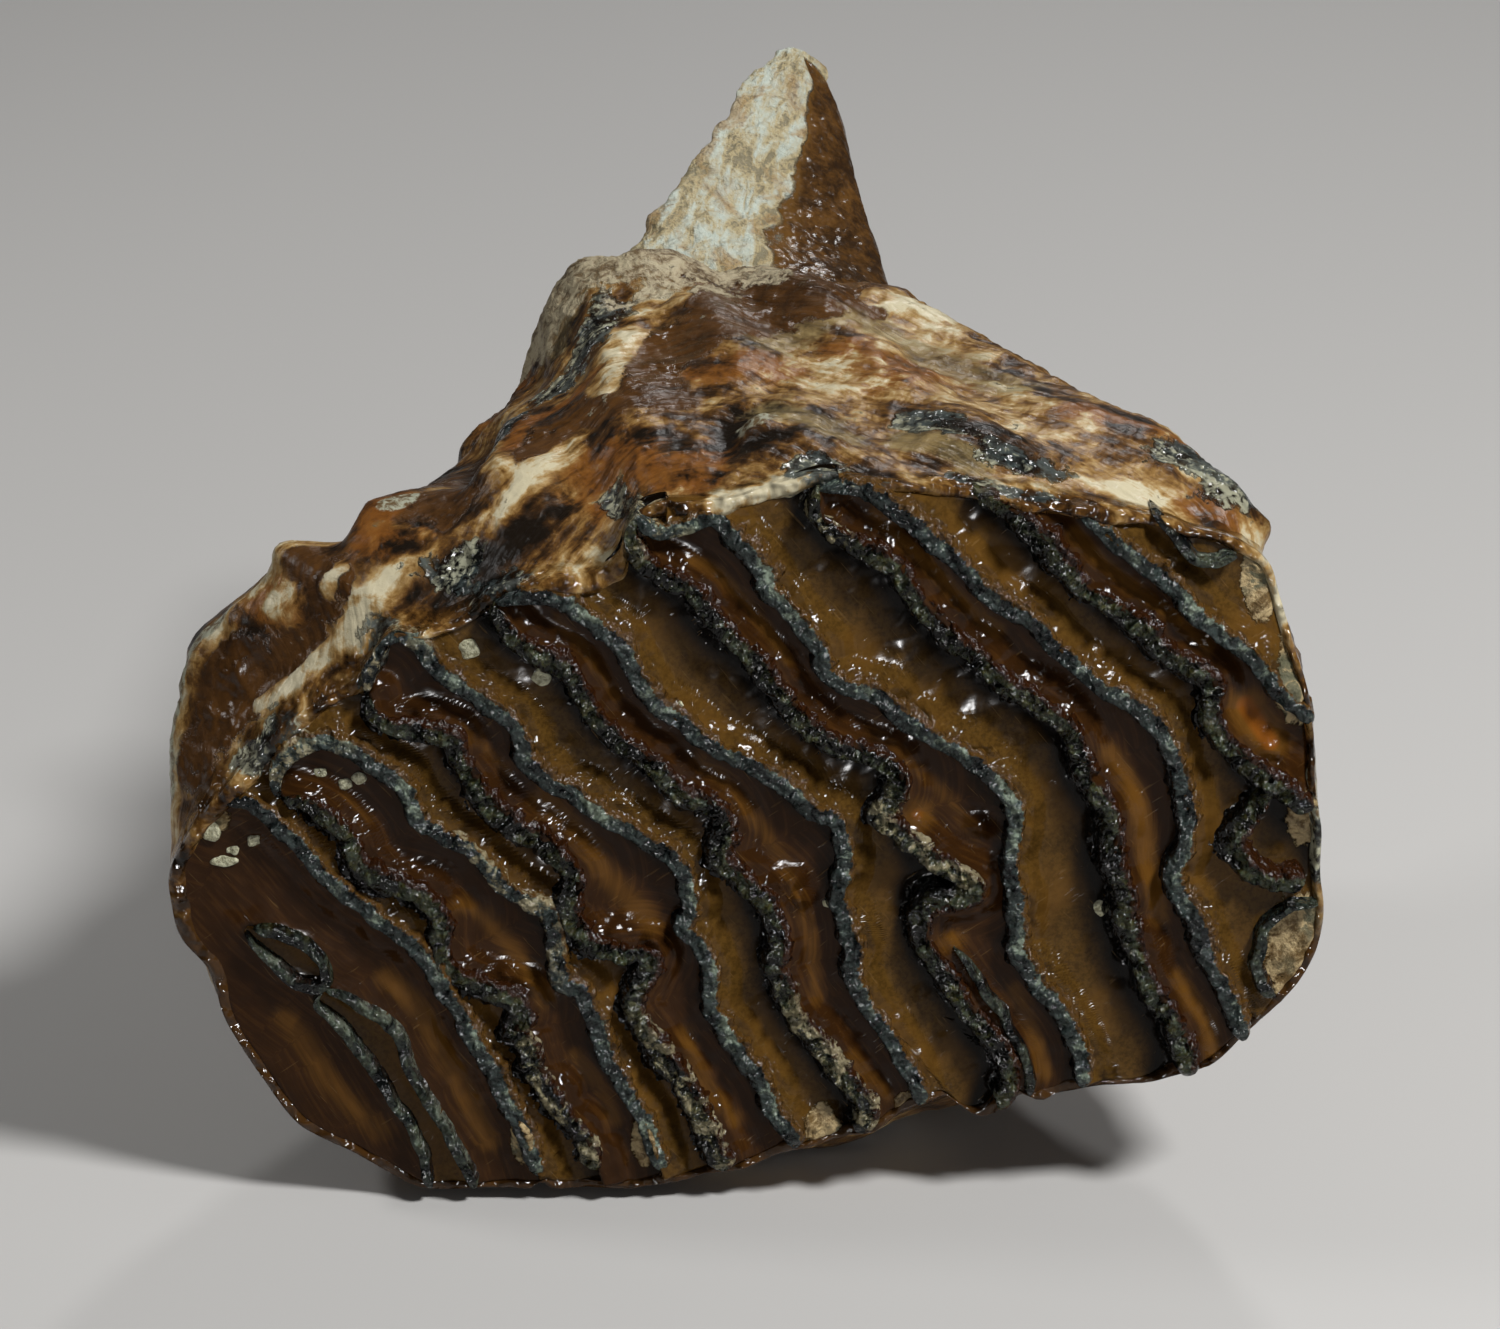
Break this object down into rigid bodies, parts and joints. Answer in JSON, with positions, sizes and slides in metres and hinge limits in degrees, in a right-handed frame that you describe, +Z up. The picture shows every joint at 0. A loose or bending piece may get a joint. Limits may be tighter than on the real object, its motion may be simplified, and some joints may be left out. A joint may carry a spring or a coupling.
{
  "type": "fossil mammoth molar",
  "caption": "Fossil elephantid molar lying on its side, with a ridged wear face, tapering walls and a broken root.",
  "frame": {"origin": "middle of the footprint's box, at the height of the ground", "axes": "+Z up, with the ridged wear face upright and looking along -Y, and +X to the right of a viewer who looks at that face"},
  "size_m": [0.1346, 0.1142, 0.1099],
  "materials": {
    "cement_wall": "wet, polished, mottled cream and brown",
    "worn_face": "wet, smooth, brown cement and dentine",
    "enamel": "glassy blue-grey enamel with rough crests",
    "broken_root": "matt broken grey-white dentine with brown skin"
  },
  "bodies": {
    "root": {"molar": "cement_wall"}
  },
  "joints": []
}
